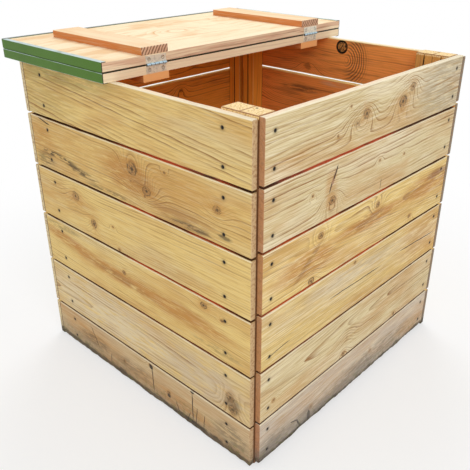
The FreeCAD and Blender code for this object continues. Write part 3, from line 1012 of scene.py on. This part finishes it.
def cover_finish(node):
    """Satin green paint with faint runs and dust, and the turned-in edge in pale blue-white."""
    look = bpy.context.scene.lid_look
    low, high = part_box(node)
    finish = Finish(node + "_paint")
    at = finish.place()
    x, y, z = finish.parts(at)
    cloud = finish.noise(at, 7.0, 4.0, 0.6)
    speck = finish.noise(at, 900.0, 2.0)
    base = Coats(finish, look.paint).lay([level * 0.72 for level in look.paint], cloud.step(0.35, 0.7) * 0.5)
    base.lay(look.back_coat, speck.step(0.62, 0.8) * 0.15)
    streak = finish.noise(finish.vector(x * 30.0, y * 30.0, z * 4.0), 1.0, 3.0)
    turned = Coats(finish, look.back_coat).lay(look.paint, streak.step(0.4, 0.75) * 0.4)
    if node.startswith("front"):
        turned.lay(look.cut_edge, y.step(high[1] - 0.0140, high[1] - 0.0125, 0.75))
        base.lay(turned, z.step(high[2] - 0.0012, high[2] - 0.0004))
    else:
        base.lay(turned, 1 - z.step(low[2] + 0.0004, low[2] + 0.0012))
        worn = z.step(high[2] - 0.0018, high[2] - 0.0012) * z.fall(high[2] - 0.0006, high[2] - 0.0002, 0.85)
        base.lay(look.back_coat, worn * cloud.step(0.3, 0.5))
    base.lay(look.cut_edge, y.fall(low[1] + 0.0004, low[1] + 0.0012))
    return finish.surface(base, cloud * 0.12 + 0.38, cloud * 0.6 + speck * 0.08, 0.0006, 0.35, specular=0.3)


def steel(name):
    """The start of a finish of plated steel: with its place, its dull patches and its fine grain."""
    finish = Finish(name)
    at = finish.place()
    return finish, at, finish.noise(at, 160.0, 3.0, 0.6), finish.noise(at, 1500.0, 2.0)


def metal_finish(name, tone, roughness, metallic):
    """Plated steel with a fine grain and dull patches."""
    finish, at, cloud, fine = steel(name)
    base = Coats(finish, tone).lay([level * 0.6 for level in tone], cloud.step(0.40, 0.72) * 0.6)
    return finish.surface(base, cloud * 0.25 + roughness, cloud * 0.5 + fine * 0.4, 0.0002, 0.4, metallic)


def hinge_finish(look):
    """Zinc leaves with dark rings round the screws, and a bluish barrel with painted shade in the gaps between
    its knuckles.
    """
    finish, at, cloud, fine = steel("hinge_zinc")
    x, y, z = finish.parts(at)
    base = Coats(finish, look.zinc).lay(look.dull_zinc, cloud.step(0.45, 0.65, 0.5))
    base.lay(look.screw, fine.step(0.55, 0.7, 0.3))
    screws = islands("rear_hinge_screws") + islands("front_hinge_screws")
    heads = [head_of(corners, 1, -1)[0] for corners in screws]
    near = reduce(Value.min, [finish.distance(x - head.x, z - head.z) for head in heads])
    base.lay(look.screw, near.fall(0.0040, 0.0050, 0.75))
    barrel = y.fall(-0.0026, -0.0018)
    base.lay(look.blue_zinc, barrel * 0.85)
    # each knuckle is 12 mm long, and the outer ones start 264 mm from the lid's middle
    knuckle = ((abs(x) - 0.264) / 0.012 + 0.5).fraction()
    # painted shade in the narrow gaps between the knuckles, with a groove in the bump
    knuckle_gap_shade = abs(knuckle - 0.5).fall(0.03, 0.07) * barrel
    base.lay(look.screw, knuckle_gap_shade * 0.9)
    height = cloud * 0.5 + fine * 0.4 - knuckle_gap_shade * 2.0
    return finish.surface(base, cloud * 0.25 + 0.32, height, 0.0003, 0.5, 0.5)


# Operators

def paint_node(node, material):
    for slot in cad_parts[node].material_slots:
        slot.material = material


class WallBoards(bpy.types.Operator):
    """Dress the boards of the four walls with worn edges, chipped feet and their own grain and knots"""
    bl_idname = "compost.wall_boards"
    bl_label = "Wall boards"

    def execute(self, context):
        nodes = [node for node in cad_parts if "_board_" in node and node[-1].isdigit()]
        for number, node in enumerate(sorted(nodes)):
            shape = worn_board(node, number)
            add_piece(node + "_worn", shape, "bin", board_finish(node, number), [node])
        return {"FINISHED"}


class LooseKnot(bpy.types.Operator):
    """Cut a round pocket in the right wall's top board and set the loose, cracked knot in it"""
    bl_idname = "compost.loose_knot"
    bl_label = "Loose knot"

    def execute(self, context):
        low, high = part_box("right_board_6")
        place = Vector((low[0], *BOARD_MARKS["right_board_6"]["pocket"][:2]))
        pocket_radius, bottom = 0.0195, 0.0085
        cutter = self.disc(place, pocket_radius, -0.004, bottom, 0.05)
        mesh = bpy.data.meshes.new("pocket")
        cutter.to_mesh(mesh)
        cutter.free()
        pocket = bpy.data.objects.new("pocket", mesh)
        context.scene.collection.objects.link(pocket)
        board = bpy.data.objects["right_board_6_worn"]
        board.modifiers.clear()
        cut = board.modifiers.new("pocket", "BOOLEAN")
        cut.object = pocket
        cut.operation = "DIFFERENCE"
        whole = bpy.data.meshes.new_from_object(board.evaluated_get(context.evaluated_depsgraph_get()))
        board.modifiers.clear()
        whole.name = board.data.name
        board.data = whole
        even_out(board)
        bpy.data.objects.remove(pocket)
        plug = self.disc(place, KNOT_RADIUS, 0.0006, bottom, 0.20)
        add_piece("right_board_6_knot", plug, "bin", knot_finish(place))
        return {"FINISHED"}

    @staticmethod
    def disc(place, radius, front, back, wobble):
        """An uneven disc about the x axis through a place, from one depth in the wood to another."""
        shape = bmesh.new()
        steps = 48
        rings = []
        for depth, size in ((front, 0.93), (front + 0.0012, 1.0), (back, 0.97)):
            ring = []
            for step in range(steps):
                angle = math.tau * step / steps
                uneven = noise.noise(Vector((math.cos(angle), math.sin(angle), radius * 99)))
                reach = radius * size * (1 + wobble * uneven)
                corner = Vector((depth, reach * math.cos(angle), reach * math.sin(angle)))
                ring.append(shape.verts.new(place + corner))
            rings.append(ring)
        for one, other in zip(rings, rings[1:]):
            for step in range(steps):
                shape.faces.new((one[step], one[step - 1], other[step - 1], other[step]))
        shape.faces.new(rings[0])
        shape.faces.new(list(reversed(rings[-1])))
        bmesh.ops.recalc_face_normals(shape, faces=shape.faces[:])
        return shape


class Posts(bpy.types.Operator):
    """Dress the corner and side posts with eased edges and vertical grain"""
    bl_idname = "compost.posts"
    bl_label = "Posts"

    def execute(self, context):
        nodes = [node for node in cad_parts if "_post_" in node and not node.endswith("nail")]
        for number, node in enumerate(sorted(nodes), POST_SEEDS):
            shape = eased(node, 0.0012, 0.03)
            add_piece(node + "_sawn", shape, "bin", post_finish(node, number), [node])
        return {"FINISHED"}


class Screws(bpy.types.Operator):
    """Make the screw heads with their cross recesses, sunk a little into the wood, and finish the nail"""
    bl_idname = "compost.screws"
    bl_label = "Screws and nail"

    def execute(self, context):
        look = context.scene.metal_look
        dark = metal_finish("dark_screw", look.screw, 0.5, 0.35)
        zinc = metal_finish("hinge_screw_zinc", look.zinc, 0.3, 0.85)
        chance = random.Random(7)
        for wall, (along, axis, outer, inward) in WALLS.items():
            node = wall + "_board_screws"
            self.heads(node, "bin", "dark_screw_steel", dark, axis, -inward, chance, sunk=0.0007)
        for half in ("rear", "front"):
            node = half + "_hinge_screws"
            self.heads(node, "lid_" + half, "hinge_steel", zinc, 1, -1, chance, sunk=0.0002)
        for node in ("corner_tie_screws", "corner_post_nail", "rear_batten_screws", "front_batten_screws"):
            paint_node(node, dark)
        return {"FINISHED"}

    @staticmethod
    def heads(node, body, slot, material, axis, outward, chance, sunk):
        shape = bmesh.new()
        for corners in islands(node):
            middle, radius = head_of(corners, axis, outward)
            add_head(shape, middle, radius, axis, outward, chance.uniform(0, math.pi / 2), sunk)
        add_piece(node.replace("screws", "screw_heads"), shape, body, material, [node], crease=25.0)


class LidHalves(bpy.types.Operator):
    """Dress the lid's boards and battens with eased edges and grain"""
    bl_idname = "compost.lid_halves"
    bl_label = "Lid boards and battens"

    def execute(self, context):
        number = LID_SEEDS
        for half in ("rear", "front"):
            for part, ease, straight, slot, finish in (
                    ("board", 0.0007, 0.018, "lid_wood", panel_finish),
                    ("batten_left", 0.0012, 0.015, "batten_wood", batten_finish),
                    ("batten_right", 0.0012, 0.015, "batten_wood", batten_finish)):
                node = half + "_lid_" + part
                shape = eased(node, ease, straight)
                add_piece(node + "_sawn", shape, "lid_" + half, finish(node, number), [node])
                number += 1
        return {"FINISHED"}


class LidCovers(bpy.types.Operator):
    """Round the folds of the lid's green covers and paint them"""
    bl_idname = "compost.lid_covers"
    bl_label = "Lid covers"

    def execute(self, context):
        for half in ("rear", "front"):
            node = half + "_lid_cover"
            shape = self.folded(node)
            add_piece(node + "_folded", shape, "lid_" + half, cover_finish(node), [node])
        return {"FINISHED"}

    @staticmethod
    def folded(node):
        """The cover with rounded folds along its outer edges."""
        shape = whole_faced(node)
        low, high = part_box(node)
        corner = 0.008
        shortest = 1e-4

        def outer(co):
            at_side = abs(co.x) > high[0] - corner and (abs(co.x) > high[0] - LEVEL or co.y > high[1] - corner)
            return at_side or co.y > high[1] - LEVEL

        def is_fold(one, other):
            level = abs(one.z - other.z) < LEVEL
            at_face = min(abs(one.z - low[2]), abs(one.z - high[2])) < LEVEL
            long = abs(one.y - other.y) + abs(one.x - other.x) > shortest
            at_hinges = one.y < LEVEL and other.y < LEVEL
            return level and at_face and outer(one) and outer(other) and long and not at_hinges

        folds = [edge for edge in shape.edges if is_fold(*(vertex.co for vertex in edge.verts))]
        return rounded(shape, folds, 0.0013)


class Hinges(bpy.types.Operator):
    """Finish the hinges' leaves in zinc and their pins in dark steel"""
    bl_idname = "compost.hinges"
    bl_label = "Hinges"

    def execute(self, context):
        look = context.scene.metal_look
        zinc = hinge_finish(look)
        dark = metal_finish("hinge_pin_steel", look.screw, 0.5, 0.35)
        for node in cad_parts:
            if "hinge_leaf" in node:
                paint_node(node, zinc)
            elif "hinge_pin" in node:
                paint_node(node, dark)
        return {"FINISHED"}


class Stage(bpy.types.Operator):
    """Set up the floor, the studio lamps, the even light all round and the camera"""
    bl_idname = "compost.stage"
    bl_label = "Studio"

    def execute(self, context):
        look = context.scene.stage_look
        self.floor(look)
        self.sky(look)
        self.lamp("key_lamp", look.key_power, 2.2, (-1.6, -3.1, 3.3))
        self.lamp("fill_lamp", look.fill_power, 1.6, (-2.3, -2.15, 1.75))
        self.lamp("top_lamp", look.top_power, 2.0, (1.6, 1.4, 3.6))
        self.camera(look)
        context.scene.view_settings.view_transform = "Standard"
        return {"FINISHED"}

    @staticmethod
    def floor(look):
        """A wide disc, lit near the bin and white to the camera further out."""
        shape = bmesh.new()
        bmesh.ops.create_circle(shape, cap_ends=True, segments=96, radius=9.0)
        mesh = bpy.data.meshes.new("studio_floor")
        shape.to_mesh(mesh)
        shape.free()
        floor = bpy.data.objects.new("studio_floor", mesh)
        floor.location.z = -0.0005
        bpy.context.scene.collection.objects.link(floor)
        finish = Finish("studio_floor")
        x, y, z = finish.parts(finish.place())
        lit = finish.node("ShaderNodeBsdfDiffuse", {}, {"Color": finish.colour(look.floor)})
        white = finish.node("ShaderNodeEmission", {}, {"Color": (1.0, 1.0, 1.0, 1.0)})
        fade = (finish.distance(x, y).step(0.7, 1.7) * 0.45 + 0.55) * seen_white(finish)
        finish.output(finish.node("ShaderNodeMixShader", {}, {0: fade, 1: lit, 2: white}))
        mesh.materials.append(finish.material)

    @staticmethod
    def sky(look):
        world = bpy.data.worlds.new("studio")
        finish = Finish("studio", world)
        strength = seen_white(finish) * (1.0 - look.sky) + look.sky
        shader = finish.node("ShaderNodeBackground", {}, {"Color": (1.0, 1.0, 1.0, 1.0), "Strength": strength})
        finish.output(shader, "ShaderNodeOutputWorld")
        bpy.context.scene.world = world

    @staticmethod
    def lamp(name, power, size, place):
        data = bpy.data.lights.new(name, "AREA")
        data.energy = power
        data.shape = "DISK"
        data.size = size
        lamp = bpy.data.objects.new(name, data)
        lamp.location = place
        lamp.rotation_euler = (Vector((0.0, 0.0, 0.4)) - Vector(place)).to_track_quat("-Z", "Y").to_euler()
        bpy.context.scene.collection.objects.link(lamp)

    @staticmethod
    def camera(look):
        """The camera stands where the photograph was taken from."""
        data = bpy.data.cameras.new("camera")
        data.sensor_width = 36.0
        data.lens = look.lens
        data.shift_x = -0.0235
        data.shift_y = -0.0110
        camera = bpy.data.objects.new("camera", data)
        camera.location = (-1.21497, -1.12843, 1.17669)
        heading, tilt, roll = -47.558, 90 - 26.692, 0.269
        turn = Matrix.Rotation(math.radians(heading), 4, "Z") @ Matrix.Rotation(math.radians(tilt), 4, "X")
        camera.rotation_euler = (turn @ Matrix.Rotation(math.radians(roll), 4, "Z")).to_euler()
        bpy.context.scene.collection.objects.link(camera)
        bpy.context.scene.camera = camera


def seen_white(finish):
    """1 for what the camera, a reflection or glass sees, 0 for the light that falls on things."""
    rays = ("Is Camera Ray", "Is Glossy Ray", "Is Transmission Ray")
    return reduce(Value.max, [finish.node("ShaderNodeLightPath", {}, {}, ray) for ray in rays])


class BinPanel(bpy.types.Panel):
    """Lists the steps that dress the compost bin, and their colours and sizes"""
    bl_idname = "VIEW3D_PT_compost_bin"
    bl_label = "Compost Bin"
    bl_space_type = "VIEW_3D"
    bl_region_type = "UI"
    bl_category = "Compost Bin"

    def draw(self, context):
        for operator in OPERATORS:
            self.layout.operator(operator.bl_idname)
        for title, (name, look) in zip(("Timber", "Lid", "Metal", "Studio"), LOOKS.items()):
            box = self.layout.box()
            box.label(text=title)
            for setting in look.__annotations__:
                box.prop(getattr(context.scene, name), setting)


LOOKS = {"timber_look": TimberLook, "lid_look": LidLook, "metal_look": MetalLook, "stage_look": StageLook}
OPERATORS = (WallBoards, LooseKnot, Posts, Screws, LidHalves, LidCovers, Hinges, Stage)
CLASSES = (*LOOKS.values(), *OPERATORS, BinPanel)


def register():
    for made in CLASSES:
        bpy.utils.register_class(made)
    for name, look in LOOKS.items():
        setattr(bpy.types.Scene, name, PointerProperty(type=look))


def unregister():
    for name in LOOKS:
        delattr(bpy.types.Scene, name)
    for made in reversed(CLASSES):
        bpy.utils.unregister_class(made)


def main():
    register()
    bpy.ops.compost.wall_boards()
    bpy.ops.compost.loose_knot()
    bpy.ops.compost.posts()
    bpy.ops.compost.screws()
    bpy.ops.compost.lid_halves()
    bpy.ops.compost.lid_covers()
    bpy.ops.compost.hinges()
    bpy.ops.compost.stage()


if __name__ == "__main__":
    main()
